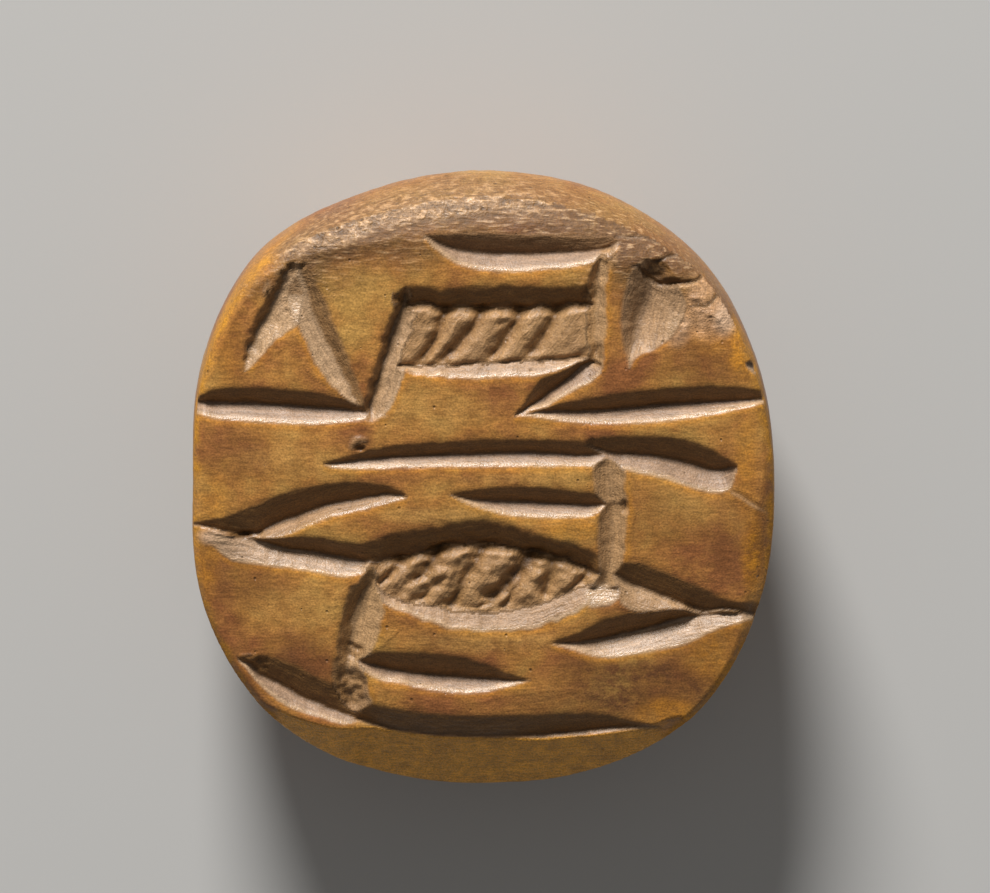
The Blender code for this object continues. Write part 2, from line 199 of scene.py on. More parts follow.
# Carving, as read off the reference picture in pixels, 35 to the mm. A stroke that runs across, as most
# do, lists (x, upper edge, deep line, lower edge), one that runs down (y, left edge, deep line, right
# edge). depth is in mm where the stroke is widest. crumble is how far its edges wander in pixels.
# shadeSide is the wall that faces away from the light, -1 (the first edge's) or 1, and shade how much
# painted shade, with brown patina, it gets. floor rounds the bottom, warm turns the cut's colour to honey,
# fringe is the amber line beside its lip and fray breaks up the deep line. level is (place, share of the
# depth) along the stroke, ledge (place, share of the depth that is left beyond the lit wall), which fades
# out reach pixels past its edge. bareAndLit is how far the lit wall is scraped to paler bone and painted
# lighter as lit, farShade how much painted shade with patina its far side gets and crackDirtAndShade how
# much dirt and painted shade a crack gets.
strokes = {
    "upperBar": dict(depth=0.46, crumble=1.0, shade=0.75, stations=(
        (424, 236, 237, 239), (435, 236, 243, 250), (447, 235, 248, 260), (463, 234, 252, 268),
        (483, 234, 254, 272), (513, 235, 255, 273.5), (547, 236, 254.5, 271.5), (572, 237, 253, 269),
        (597, 237, 251.5, 262), (610, 238, 248, 256), (618, 242, 244, 246))),
    "panelLeftLeg": dict(run="down", depth=0.50, crumble=2.6, fray=3.0, warm=0.6, shade=0.7,
        bareAndLit=0.3, stations=(
        (289, 403, 407, 411), (300, 399, 406, 432), (318, 391, 400, 434), (338, 384, 392, 427),
        (357, 379, 386, 415), (372, 374, 381, 406), (385, 370, 377, 401), (398, 366, 374, 396),
        (410, 363, 371, 390), (420, 367, 372, 379))),
    "panelRightEdge": dict(run="down", depth=0.34, crumble=3.2, floor=0.8, warm=1.0, shade=0.0,
        bareAndLit=0.3, stations=(
        (250, 601, 603, 606), (262, 594, 600, 607), (275, 589, 598, 607), (288, 584, 596, 606),
        (300, 581, 595, 605), (320, 579, 594, 604.5), (340, 580, 594, 604.5), (355, 582, 595, 604),
        (366, 585, 594, 602), (374, 591, 594, 597))),
    "panelRightLeg": dict(depth=0.42, crumble=1.4, stations=(
        (514, 416, 417, 418), (522, 405, 411, 416), (530, 393, 406, 412), (540, 380, 400, 410),
        (555, 374, 389, 402), (570, 367, 376, 393), (580, 361, 367, 388), (590, 357, 362, 384),
        (600, 361, 366, 374))),
    "rightBar": dict(depth=0.48, crumble=0.8, stations=(
        (518, 415, 416, 417), (535, 411, 412.5, 418), (555, 405, 411, 421), (580, 400, 412, 423.5),
        (600, 396, 411, 424.5), (640, 391, 407, 424), (680, 387, 404, 420), (720, 386, 402, 413),
        (745, 388, 400.5, 408), (765, 391, 399, 404), (785, 392, 398, 403))),
    "leftBar": dict(depth=0.48, crumble=0.8, stations=(
        (180, 398, 404, 412), (200, 395, 402, 415), (215, 390, 402.5, 419), (240, 388, 403, 421),
        (280, 389, 405, 423.5), (310, 392, 407, 425), (340, 398, 409, 423.5), (360, 404, 411, 421),
        (378, 411, 414, 418), (389, 415, 416, 417))),
    "chevronLeft": dict(run="down", depth=0.36, crumble=3.2, fray=4.5, floor=0.25, warm=0.8, shade=0.7,
        bareAndLit=0.6, stations=(
        (265, 291, 294, 299), (273, 285, 290, 304), (285, 278, 285, 306), (300, 269, 277, 305),
        (315, 260, 269, 302), (325, 254.5, 263, 297), (335, 250, 257, 286), (348, 247, 252, 272),
        (360, 245, 248.5, 262), (373, 246, 247, 249))),
    "chevronRight": dict(run="down", depth=0.27, crumble=2.2, shadeSide=1, floor=0.4, warm=0.8, shade=0.55,
        bareAndLit=0.7, stations=(
        (267, 297, 302, 308), (278, 292, 304, 315), (290, 290, 307, 321), (300, 291, 310, 326),
        (320, 297, 317, 334), (335, 303, 324, 341), (350, 310, 331, 347), (365, 318, 338, 352),
        (380, 327, 346, 358), (392, 338, 352, 362), (402, 348, 357, 366), (412, 357, 361, 366))),
    "chevronCrotch": dict(depth=0.25, crumble=1.5, floor=0.6, warm=0.6, shade=0.2, fringe=0.0,
        bareAndLit=1.0, stations=(
        (280, 286, 297, 310), (287, 276, 296, 320), (295, 268, 296, 327), (300, 270, 296, 326),
        (306, 280, 299, 319), (312, 292, 303, 312))),
    "leaf": dict(run="down", depth=0.48, crumble=1.6, fray=1.5, floor=0.2, warm=0.5, shade=0.15, stations=(
        (261, 641, 646, 651), (270, 632, 650, 660), (282, 626, 650, 672), (292, 623, 648, 680),
        (302, 621, 645, 685), (318, 619.5, 640, 684), (330, 620, 636, 676), (340, 621, 633, 668),
        (350, 623, 630, 654), (358, 625, 628.5, 637), (369, 626.5, 627.5, 629))),
    "middleLine": dict(depth=0.38, crumble=0.8, stations=(
        (324, 463, 464, 465), (335, 460, 463, 468), (350, 456, 461, 469), (370, 450, 459, 469),
        (400, 445, 456.5, 468), (440, 442, 455, 467.5), (480, 440, 453.5, 467), (520, 439.5, 452.5, 467),
        (550, 440, 453.5, 467), (580, 441, 455, 466.5), (594, 443, 455, 466), (604, 448, 455, 463))),
    "middleLineTail": dict(depth=0.52, crumble=1.0, stations=(
        (586, 440, 444, 449), (596, 437, 449, 460), (610, 436, 453, 466), (635, 435.5, 454, 473),
        (660, 436, 457, 478), (680, 438, 461, 485), (700, 444, 467, 491), (713, 450.5, 470, 493.5),
        (724, 457.5, 469, 491.5), (731, 462.5, 466.5, 485), (736, 465.5, 467, 470))),
    "shortBar": dict(depth=0.42, crumble=0.8, stations=(
        (450, 493, 494, 495), (462, 491, 497, 501), (480, 488, 500, 508), (500, 486.5, 501, 514.5),
        (520, 486, 501.5, 517), (545, 487, 503, 518), (570, 490, 504, 517.5), (588, 492, 505, 516.5),
        (600, 494, 505, 511), (608, 501, 505, 508))),
    "uprightTop": dict(run="down", depth=0.24, crumble=1.8, floor=0.9, warm=0.8, shade=0.15, stations=(
        (455, 601, 608, 617), (462, 594, 607, 622), (475, 592, 607, 624), (490, 593, 608, 624),
        (500, 595, 609, 626), (510, 603, 611, 624))),
    "uprightFoot": dict(run="down", depth=0.31, crumble=1.8, floor=0.9, warm=0.8, shade=0.15, stations=(
        (499, 604, 612, 622), (508, 600, 612, 627), (520, 598, 612, 626), (540, 597, 611, 625),
        (560, 597, 610, 623), (572, 596, 608, 621), (581, 591, 604, 619), (589, 587, 602, 617))),
    "brow": dict(depth=0.55, crumble=1.0, warm=0.35, farShade=0.5, stations=(
        (193, 521, 524, 526), (207, 519, 526, 528.5), (222, 517, 530, 532.5), (235, 513, 533.5, 536),
        (246, 508, 535.5, 538.5), (256, 504.5, 534, 540),
        (264, 501, 530, 540.5), (273, 497, 525, 540), (283, 493, 520.5, 537), (298, 488, 515.5, 531),
        (316, 485, 508.5, 522.5), (335, 482, 503, 516.5), (354, 481, 499.5, 512), (374, 483, 495.5, 507.5),
        (390, 486.5, 493, 503.5), (400, 490.5, 494.5, 500.5), (407, 496, 497, 499))),
    "mouth": dict(depth=0.50, crumble=1.3, bareAndLit=0.4,
        level=((203, 0.08), (222, 0.15), (232, 0.4), (244, 0.75), (256, 0.95), (270, 1.0)), stations=(
        (201, 531, 532, 534), (211, 531, 532.5, 543), (221, 533, 534.5, 552), (232, 535, 536.5, 559),
        (244, 535.5, 537, 562.5), (256, 536.5, 539, 564.5), (266, 537, 541.5, 565.5),
        (276, 537, 544.5, 566.5), (290, 536, 548.5, 568), (305, 535.5, 551, 570), (320, 537, 553, 573),
        (340, 541, 556, 576.5), (355, 542, 559, 576),
        (364, 541.5, 560.5, 573.5), (370, 540, 561, 567), (381, 537, 561.5, 564), (395, 533, 557, 559),
        (408, 530, 553.5, 555))),
    "snoutTop": dict(depth=0.37, crumble=1.0, warm=0.6, fringe=0.0, farShade=0.35, bareAndLit=0.2,
        level=((650, 1.0), (672, 1.35), (690, 1.8), (706, 1.8), (722, 2.0), (770, 1.9)), stations=(
        (606, 566, 571, 578), (614, 563, 574, 592), (622, 561.5, 578.5, 604), (632, 561, 583, 611),
        (645, 563.5, 588, 612), (660, 569, 594, 611.5), (672, 574, 599, 610.5), (684, 580, 604.5, 611),
        (694, 584, 609, 619), (706, 589, 610, 619), (718, 597, 608, 614), (735, 601, 609, 612.5),
        (750, 602, 613, 616), (770, 602, 616, 620))),
    "glintCut": dict(depth=0.27, crumble=0.8, floor=0.12, fringe=0.0, bareAndLit=1.0, stations=(
        (583, 585.5, 587, 603), (587, 585, 587, 606), (600, 584.5, 587, 606), (613, 585, 587.5, 602.5),
        (618, 586, 588, 598))),
    "snoutFoot": dict(depth=0.55, crumble=0.9, bareAndLit=0.45, stations=(
        (551, 642, 643, 644), (565, 637, 642, 647), (580, 631, 642, 652.5), (600, 620.5, 638.5, 657),
        (620, 614.5, 634, 656.5), (650, 611, 626.5, 651.5), (670, 609, 620.5, 648), (690, 608, 616, 642),
        (715, 609, 613, 629.5), (735, 610, 613, 623.5), (752, 608, 611, 619), (775, 606, 608, 612))),
    "legTop": dict(run="down", depth=0.40, crumble=2.6, floor=0.3, warm=1.0, shade=0.5, bareAndLit=0.2, stations=(
        (566, 368, 374, 380), (578, 361, 374, 384), (590, 350, 366, 385), (610, 342.5, 357, 384),
        (630, 340, 352, 380), (650, 337.5, 349, 373), (662, 337, 348, 366), (674, 340, 347, 354))),
    "legFoot": dict(run="down", depth=0.32, crumble=3.0, fray=2.0, floor=0.5, warm=0.6, shade=0.7, stations=(
        (649, 340, 346, 354), (660, 334, 346, 360), (675, 333, 347, 366), (690, 331, 349, 370),
        (705, 335, 351, 372), (716, 345, 354, 368), (724, 353, 356, 360))),
    "lowBar": dict(depth=0.50, crumble=1.0, stations=(
        (349, 655, 658, 662), (362, 653, 661, 669), (375, 651.5, 665, 678), (400, 651, 671, 683),
        (430, 652.5, 674.5, 690), (460, 655.5, 676.5, 693), (490, 665, 678.5, 691),
        (512, 674, 679.5, 685.5), (531, 679, 680, 681))),
    "footLeft": dict(depth=0.42, crumble=1.8, fringe=0.3, stations=(
        (238, 655, 658, 661), (248, 655, 664, 671), (258, 655, 672, 682), (268, 656, 677, 692),
        (281, 659, 684, 702), (291, 663, 689.5, 708), (305, 669.5, 697, 713.5), (321, 677, 704, 718.5),
        (342, 686, 711, 723.5), (362, 698, 719, 727), (378, 711, 727, 729.5))),
    "footLine": dict(depth=0.46, crumble=0.9, fringe=0.0, warm=0.5, reach=90,
        ledge=((338, 0.0), (352, 0.3), (372, 0.8), (400, 1.0), (500, 1.0), (545, 0.70), (656, 0.30)),
        stations=(
        (338, 712, 713, 714), (352, 706, 717, 721), (365, 701, 721, 725.5), (380, 704.5, 726, 730),
        (420, 711, 733, 737), (460, 714, 736, 740), (500, 714, 736.5, 740.5), (540, 713, 735, 740),
        (570, 711.5, 732.5, 738), (600, 712.5, 728.5, 734), (620, 717.5, 727, 732), (640, 722, 726, 729.5),
        (660, 725, 726, 728))),
    "tailCrease": dict(depth=0.03, crumble=1.0, warm=0.6, stations=(
        (722, 485, 488, 492), (738, 491, 494.5, 499), (752, 499, 503.5, 508), (766, 510, 511, 514))),
    "crackHigh": dict(depth=0.13, crumble=2.2, crackDirtAndShade=0.85, fringe=0.0, stations=(
        (629, 266.5, 268, 269.5), (645, 263, 265.5, 268), (660, 258, 261, 263.5), (674, 253, 255.5, 257.5),
        (684, 250, 251, 252))),
    "crackWide": dict(depth=0.55, crumble=2.5, warm=0.6, crackDirtAndShade=0.5, fringe=0.0, stations=(
        (637, 268, 270, 273), (645, 266, 278, 288), (653, 267, 283, 292), (664, 270, 286, 291),
        (674, 275, 286, 289), (684, 279, 285.5, 287.5), (693, 277, 282, 284.5), (701, 271, 276, 279),
        (712, 265, 268, 269))),
    "crackLow": dict(depth=0.16, crumble=2.0, crackDirtAndShade=0.6, fringe=0.0, stations=(
        (684, 308, 309, 310.5), (698, 304.5, 307, 309), (709, 302, 305, 307.5), (716, 290, 295, 299),
        (722, 286, 288, 290))),
    "flakeLeft": dict(depth=0.10, crumble=2.4, crackDirtAndShade=0.6, fringe=0.0, stations=(
        (584, 217, 218, 219), (596, 215.5, 217.5, 219.5), (610, 217.5, 219.5, 221.5), (622, 221, 222, 223))),
    "flakeHigh": dict(depth=0.10, crumble=2.4, crackDirtAndShade=0.6, fringe=0.0, stations=(
        (624, 219, 220, 221), (632, 216, 217.5, 219.5), (642, 212, 213, 214))),
    "flakeLow": dict(depth=0.12, crumble=2.4, crackDirtAndShade=0.7, fringe=0.0, stations=(
        (616, 238, 239, 240), (628, 237, 239.5, 241.5), (642, 236.5, 238.5, 240), (652, 241, 243.5, 245),
        (664, 242, 245, 247), (677, 247, 248, 249))),
    "rimChip": dict(depth=0.5, crumble=1.2, crackDirtAndShade=0.5, stations=(
        (745, 363, 365, 368), (750, 360, 366, 373), (757, 358, 367, 377), (775, 356, 367, 379))),
}

# Sunken fields with slanted ridges like a twist. rows are (x, upper edge, upper deep line, lower deep
# line, lower edge). depths are those of the upper line, the ridges' tops and the lower line. grooves
# are (head x, y, foot x, y, bend, half width, depth in mm): the dark lines between the ridges. lean
# is the slant of the field's two ends and the height that it turns about, and ends are where the field
# starts, is full, fades and ends. rise and drop are how many pixels the ridges take to climb from the
# upper and from the lower line, lumps is their unevenness in mm and slant the direction they run in.
fields = {
    "panel": dict(depths=(0.50, 0.25, 0.36), rise=9, drop=4, lumps=0.04, slant=(-0.64, 0.77), crumble=2.0,
        ends=(391, 407, 580, 600), lean=(0.05, 330), rows=(
        (400, 292, 302, 366, 370), (412, 288, 305, 366, 373), (428, 287.5, 302.5, 366, 376),
        (442, 291, 309, 365.5, 378), (463, 287.5, 306.5, 364.5, 379.5), (480, 286, 309, 363.5, 379.5),
        (505, 286, 308, 362.5, 378), (521, 286, 309.5, 361.5, 377.5), (541, 286, 307, 360.5, 376),
        (555, 286.5, 308.5, 359.5, 372.5), (570, 287, 304.5, 358.5, 367), (585, 290, 303, 357, 362),
        (602, 296, 302, 355, 360)),
        grooves=((405, 318, 391, 352, 2, 8, 0.16), (446, 309, 419, 367, 5, 11, 0.24),
                 (484, 308, 440, 366, 6, 12, 0.24), (522, 308, 487, 363, 5, 12, 0.25),
                 (558, 306, 527, 361, 4, 12, 0.23), (470, 313, 458, 322, 0, 5, 0.08),
                 (515, 318, 500, 330, 0, 6, 0.10), (600, 345, 578, 360, 0, 7, 0.12))),
    "lens": dict(depths=(0.55, 0.27, 0.33), rise=10, drop=12, lumps=0.10, slant=(-0.55, 0.83), crumble=2.6,
        ends=(362, 392, 584, 606), lean=(0, 0), rows=(
        (364, 546, 562, 572, 578), (378, 538.5, 561, 583, 596), (387, 534, 558.5, 592, 604),
        (414, 527, 553.5, 602, 615), (441, 524, 547, 607, 626), (462, 521, 543.5, 610, 629.5),
        (486, 520, 542.5, 612, 631), (504, 523, 544, 610, 630.5), (530, 532, 550.5, 605, 628.5),
        (550, 538, 554, 599, 622), (572, 543, 560.5, 590, 613), (590, 549, 568, 583, 602),
        (604, 556, 572, 577, 588)),
        grooves=((403, 558, 382, 584, 3, 10, 0.22), (443, 546, 413, 585, 3, 14, 0.28),
                 (441, 580, 422, 602, 0, 11, 0.16), (490, 545, 452, 612, -6, 15, 0.24),
                 (535, 551, 489, 602, 4, 16, 0.31), (520, 575, 503, 609, 2, 9, 0.20),
                 (553, 557, 543, 600, 2, 12, 0.20), (590, 573, 564, 596, 2, 7, 0.16),
                 (500, 600, 476, 610, 0, 7, 0.14), (470, 570, 455, 588, 0, 7, 0.10))),
}

# Crumbly spots: x, y, half width, half height in pixels, roughness and sinking in mm
crumbs = (
    (359, 443, 11, 10, 0.14, 0.03), (361, 449, 5, 3, 0.04, 0.16), (352, 690, 20, 26, 0.09, 0.03),
    (262, 664, 12, 9, 0.14, 0.06), (250, 657, 12, 5, 0.06, -0.04), (354, 652, 14, 9, 0.12, 0.05),
    (241, 536.5, 11, 4, 0.12, 0.05), (256, 537, 12, 5, 0.12, 0.05), (286, 274, 12, 8, 0.12, 0.02),
    (270, 292, 6, 14, 0.10, 0.02), (388, 345, 6, 18, 0.08, 0.02), (378, 385, 5, 16, 0.08, 0.0),
    (690, 262, 16, 10, 0.10, 0.0),
    (594, 356, 10, 16, 0.08, 0.03), (298, 268, 12, 5, 0.12, 0.05), (377, 575, 12, 18, 0.06, 0.02),
    (608, 260, 12, 14, 0.06, 0.02), (623, 507, 5, 8, 0.16, 0.10), (588, 300, 8, 16, 0.10, 0.04),
    (402, 302, 9, 14, 0.14, 0.05), (656, 272, 15, 12, 0.02, 0.16), (592, 442, 5, 5, 0.10, 0.03),
)


# How gouges are shaped and marked. A band of four numbers says where a mark starts, is full, fades and
# ends, one of two where it is gone and full, all in pixels outwards from the cut's edge.
gouge = {
    "narrowing": 0.85,  # power by which depth follows width
    "litWall": 0.20,  # how softly each wall rolls over at its shoulder
    "shadedWall": 0.15,
    "litCut": (1.2, -1.6),
    "shadedCut": (1.5, -3.0),
    # band of painted highlight, with burnish, along the lit lower lip
    "lip": (-5, -2.2, 0.2, 1.6),
    "fringe": (0, 1.5, 1, 9),
    "fringeShare": 0.55,
    "wallDirtAndShade": ((0.7, 0.10), (0.6, 0.35)),  # strength of the dirt and painted shade, and share of the wall that it climbs: lit, shaded
    "lightReach": 0.0135,  # depth that a steep light reaches, mm for each pixel from the upper edge
    "groovePower": 1.3,
    "deepest": 0.75,  # mm
}


def seenAt(x, y, z, c):
    # Picture pixel of a point: x * scale to the right, (y cos t - z sin t) * scale upwards.
    tilt = math.radians(c["tilt"])
    px = c["seenMiddle"][0] + x * c["scale"]
    py = c["seenMiddle"][1] - (y * math.cos(tilt) - (z - c["girdle"]) * math.sin(tilt)) * c["scale"]
    return px, py


sunkShift = camera["scale"] * math.sin(math.radians(camera["tilt"]))  # pixels up for each mm of depth


def layCut(out, depth, **marks):
    # Where this cut is deeper than what is there, it takes the place over with all its marks.
    deeper = depth > out["depth"]
    for key, value in dict(marks, depth=depth).items():
        out[key] = np.where(deeper, value, out[key])


def wallProfile(share, soft):
    # ((1 - share) + sqrt((1 - share)^2 + soft^2)) / 2, so a straight wall with a rounded shoulder
    raised = (1 - share + np.sqrt((1 - share) ** 2 + soft**2)) / (1 + math.sqrt(1 + soft**2))
    return raised * smoothStep(2.0, 1.3, share)


def layStroke(out, stroke, px, py, wander, g):
    # depth * (width here / widest width)^narrowing * wall profile of (distance from deep line / wall width)
    wx, wy = px + stroke["crumble"] * wander[0], py + stroke["crumble"] * wander[1]
    across = stroke.get("run") != "down"
    along, over = (wx, wy) if across else (wy, wx)
    at, first, deep, last = np.array(stroke["stations"], float).T
    low, line, high = (curveAt(at, v, along) for v in (first, deep, last))
    here = stroke["depth"] * (np.maximum(high - low, 0) / (last - first).max()) ** g["narrowing"]
    here = here * np.interp(along, *zip(*stroke.get("level", ((0, 1), (1, 1)))))
    if across:
        line = line + sunkShift * here
    line = line + stroke.get("fray", 0) * wander[2] * smoothStep(2, 8, high - low)
    low, high = np.minimum(low, line - 0.5), np.maximum(high, line + 0.5)
    before = over < line
    wide = np.where(before, line - low, high - line)
    share = np.abs(over - line) / wide
    gap = (share - 1) * wide  # pixels outside the cut's edge
    shaded = before if stroke.get("shadeSide", -1) < 0 else ~before
    inside = (along >= at[0]) & (along <= at[-1])
    floor, past = stroke.get("floor", 0), stroke.get("reach", 4)
    share = (np.sqrt(share**2 + floor**2) - floor) / (math.sqrt(1 + floor**2) - floor)
    ledge = np.interp(along, *zip(*stroke.get("ledge", ((0, 0), (1, 0)))))
    lit = ledge * smoothStep(past, past - 5, gap) + (1 - ledge) * wallProfile(share, g["litWall"])
    depth = np.where(inside, here * np.where(shaded, wallProfile(share, g["shadedWall"]), lit), 0)

    firm = smoothStep(0.0, 0.05, here)
    cut = np.where(shaded, smoothStep(*g["shadedCut"], gap), smoothStep(*g["litCut"], gap)) * firm
    # painted highlight, with burnish, along the lit lower lip and over lit walls scraped paler
    lip = between(gap, *g["lip"]) * (floor == 0) * (1 - ledge)
    lip = np.where(shaded, 0, np.maximum(lip, stroke.get("bareAndLit", 0))) * firm
    # painted shade, with patina, on the wall that faces away from the light and on the lit wall's far side
    shade = np.where(shaded, stroke.get("shade", 1.0), stroke.get("farShade", 0) * smoothStep(0.1, 0.8, share))
    # dirt and painted shade near the deep line, climbing each wall, and in cracks
    litWallDirtAndShade, shadedWallDirtAndShade = (most * smoothStep(climb, 0.0, share) for most, climb in g["wallDirtAndShade"])
    dirt = np.where(shaded, shadedWallDirtAndShade, litWallDirtAndShade) * firm
    dirt = dirt * (1 - 0.9 * min(floor * 2, 1)) * smoothStep(0.03, 0.12, here)
    dirt = np.maximum(dirt, stroke.get("crackDirtAndShade", 0) * smoothStep(0.9, 0.4, share))
    warm = np.full_like(px, stroke.get("warm", 0.0))
    flowX, flowY = along / camera["scale"], (over - line) / camera["scale"]
    layCut(out, depth, cut=cut, lip=lip, dirt=dirt, warm=warm, shade=shade, flowX=flowX, flowY=flowY)
    fringe = np.where(inside & ~shaded, between(gap, *g["fringe"]), 0)
    out["fringe"] = np.maximum(out["fringe"], fringe * firm * stroke.get("fringe", g["fringeShare"]))


def layField(out, field, px, py, wander, g):
    # Upper wall down to the upper deep line, up over the ridges' tops, down again to the lower deep
    # line and up the lower wall. Each groove adds depth * (1 - distance / half width)^groovePower.
    wx, wy = px + field["crumble"] * wander[0], py + field["crumble"] * wander[1]
    at, *edges = np.array(field["rows"], float).T
    upper, head, foot, lower = (curveAt(at, v, wx) for v in edges)
    top, crest, low = field["depths"]
    head, foot = head + sunkShift * top, foot + sunkShift * low
    crest = np.minimum(crest, g["lightReach"] * (head - upper))
    ridges = crest + (top - crest) * (1 - smoothStep(0, field["rise"], wy - head))
    ridges = ridges + (low - crest) * (1 - smoothStep(0, field["drop"], foot - wy))
    ridges = ridges + field["lumps"] * (layeredNoise(px / 9, py / 8, 91, 3) + wander[0] * 0.5)
    groove = np.zeros_like(px)
    for headX, headY, footX, footY, bend, half, deep in field["grooves"]:
        t = (wy - headY) / (footY - headY)
        middle = headX + (footX - headX) * t + bend * 4 * t * (1 - t)
        slant = math.hypot(footX - headX, footY - headY) / (footY - headY)
        away = np.abs(wx - middle) / slant / half
        fade = between(t, -0.12, 0.12, 0.85, 1.15)
        groove = np.maximum(groove, deep * np.clip(1 - away, 0, 1) ** g["groovePower"] * fade)

    onUp, onDown = wy < head, wy > foot
    upShare, downShare, downGap = (head - wy) / (head - upper), (wy - foot) / (lower - foot), wy - lower

    def parted(upWall, ridged, downWall):
        # each of the three parts takes its own value
        return np.where(onUp, upWall, np.where(onDown, downWall, ridged))

    wallUp = top * wallProfile(upShare, g["shadedWall"]) + groove * smoothStep(8, 0, head - wy)
    wallDown = low * wallProfile(downShare, g["litWall"])
    depth = parted(np.minimum(wallUp, g["deepest"]), ridges + groove * smoothStep(-2, 5, foot - wy), wallDown)
    a, b, c, d = field["ends"]
    lean, pivot = field["lean"]
    place = wx + lean * (wy - pivot)
    depth = depth * smoothStep(0, 1, np.minimum((place - a) / (b - a), (d - place) / (d - c)))

    cut = parted(smoothStep(1.05, 0.8, upShare), 0.9, smoothStep(*g["litCut"], downGap))
    # painted shade, with patina, on the upper wall and on the ridges where grooves are deep
    shade = parted(1.0, 0.1 + 0.6 * smoothStep(0.02, 0.25, groove) + 0.3 * wander[1], 0.0)
    # painted highlight, with burnish, along the lower lip
    lip = np.where(onDown, between(downGap, *g["lip"]), 0)
    # dirt and painted shade in the grooves and on the upper wall, and a line of painted shade where the
    # ridges' feet end, away from the field's ends
    ridgeFootShade = np.clip((low - crest) / 0.12, 0, 1) * smoothStep(14, 34, np.minimum(place - a, d - place))
    dirt = np.maximum(0.7 * smoothStep(0.12, 0.32, groove), 0.5 * ridgeFootShade * smoothStep(2.5, 0, foot - wy))
    most, climb = g["wallDirtAndShade"][1]
    dirt = parted(most * smoothStep(climb, 0, upShare), dirt, 0)
    slantX, slantY = field["slant"]
    walls = onUp | onDown
    flowX = np.where(walls, wx, wx * slantX + wy * slantY) / camera["scale"]
    flowY = parted(wy - head, wx * slantY - wy * slantX, wy - foot) / camera["scale"]
    warm = np.where(walls, 0.3, 0.8)
    shade = np.clip(shade, 0, 1)
    layCut(out, depth, cut=cut, lip=lip, dirt=dirt, warm=warm, shade=shade, flowX=flowX, flowY=flowY)
    fringe = np.where((place > b) & (place < c) & onDown, between(downGap, *g["fringe"]), 0)
    out["fringe"] = np.maximum(out["fringe"], g["fringeShare"] * fringe)


def carving(px, py):
    # All strokes and fields together, with the crumbly spots laid on top.
    wander = [layeredNoise(px / size, py / size, seed, 3) for size, seed in ((9, 1), (9, 2), (5, 3))]
    keys = ("depth", "cut", "shade", "lip", "dirt", "warm", "fringe", "flowX", "flowY")
    out = {key: np.zeros_like(px) for key in keys}
    for field in fields.values():
        layField(out, field, px, py, wander, gouge)
    for stroke in strokes.values():
        layStroke(out, stroke, px, py, wander, gouge)
    rough = layeredNoise(px / 5, py / 5, 71, 3)
    # crumbly spots take the cut's colour, painted shade with patina, and dirt with painted shade
    marked = {"cut": 0.7, "warm": 0.8, "dirt": 0.8 * smoothStep(0.1, 0.6, rough), "shade": 0.4}
    for *oval, strength, sink in crumbs:
        spot = smoothStep(1.0, 0.5, ovalAway(px, py, *oval) + 0.25 * wander[0])
        out["depth"] = out["depth"] + spot * (strength * rough + sink)
        for key, most in marked.items():
            out[key] = np.maximum(out[key], spot * most)
    return out


def fullnessAt(angle, shares):
    # Share of the oval at an angle: the same cubic through the sixteen compass points as the solid's.
    count = len(shares)
    shares = np.asarray(shares)
    place = (angle / math.tau * count) % count
    k = np.floor(place).astype(int) % count
    before, here, after, beyond = (shares[(k + step) % count] for step in (-1, 0, 1, 2))
    return cubic(here, after, (after - before) / 2, (beyond - here) / 2, place - np.floor(place))


def rimAt(angle, b):
    # Plan of the widest level at an angle: oval radius times fullness, fitted to width by height.
    def raw(a):
        oval = 1 / np.hypot(np.cos(a) / b["width"], np.sin(a) / b["height"])
        reach = oval * fullnessAt(a, b["fullness"]) / 2
        return reach * np.cos(a), reach * np.sin(a)

    ringX, ringY = raw(np.arange(80) * math.tau / 80)  # the solid's rim has 80 points
    x, y = raw(angle)
    x = (x - (ringX.max() + ringX.min()) / 2) * b["width"] / np.ptp(ringX)
    y = (y - (ringY.max() + ringY.min()) / 2) * b["height"] / np.ptp(ringY)
    return x, y


def faceHeight(x, y, b):
    # Crowned face: thick - crown ((2x / width)^2 + (2y / height)^2)
    return b["thick"] - b["crown"] * ((2 * x / b["width"]) ** 2 + (2 * y / b["height"]) ** 2)


def bevelAt(angle, b):
    # Width of the bevel at the foot, from the rim in to its border, and how far it has set in
    px, py = np.array(b["bevelBorder"], float).T
    tilt = math.radians(camera["tilt"])
    x = (px - camera["seenMiddle"][0]) / camera["scale"]
    rise = (b["thick"] - b["crown"] - b["girdle"]) * math.sin(tilt)
    y = ((camera["seenMiddle"][1] - py) / camera["scale"] + rise) / math.cos(tilt)
    turned = np.degrees(np.arctan2(y, x))
    wide = np.hypot(*rimAt(np.radians(turned), b)) - np.hypot(x, y) - b["rimInset"]
    here = np.degrees(angle)
    width = np.interp(here, turned, wide, left=b["edge"][0], right=b["edge"][0])
    return width, between(here, turned[0] - 3, turned[1], turned[-2], turned[-1] + 3)


def edgeSizes(angle, b):
    # Width and drop of the edge at an angle: the plain rounding plus a cosine-squared hump for each
    # worn stretch.
    width, drop = (np.full_like(angle, size) for size in b["edge"])
    for middle, spread, moreWidth, moreDrop in b["wornEdges"]:
        away = np.abs((np.degrees(angle) - middle + 180) % 360 - 180) / spread
        share = np.cos(np.clip(away, 0, 1) * math.pi / 2) ** 2
        width, drop = width + moreWidth * share, drop + moreDrop * share
    return width, drop
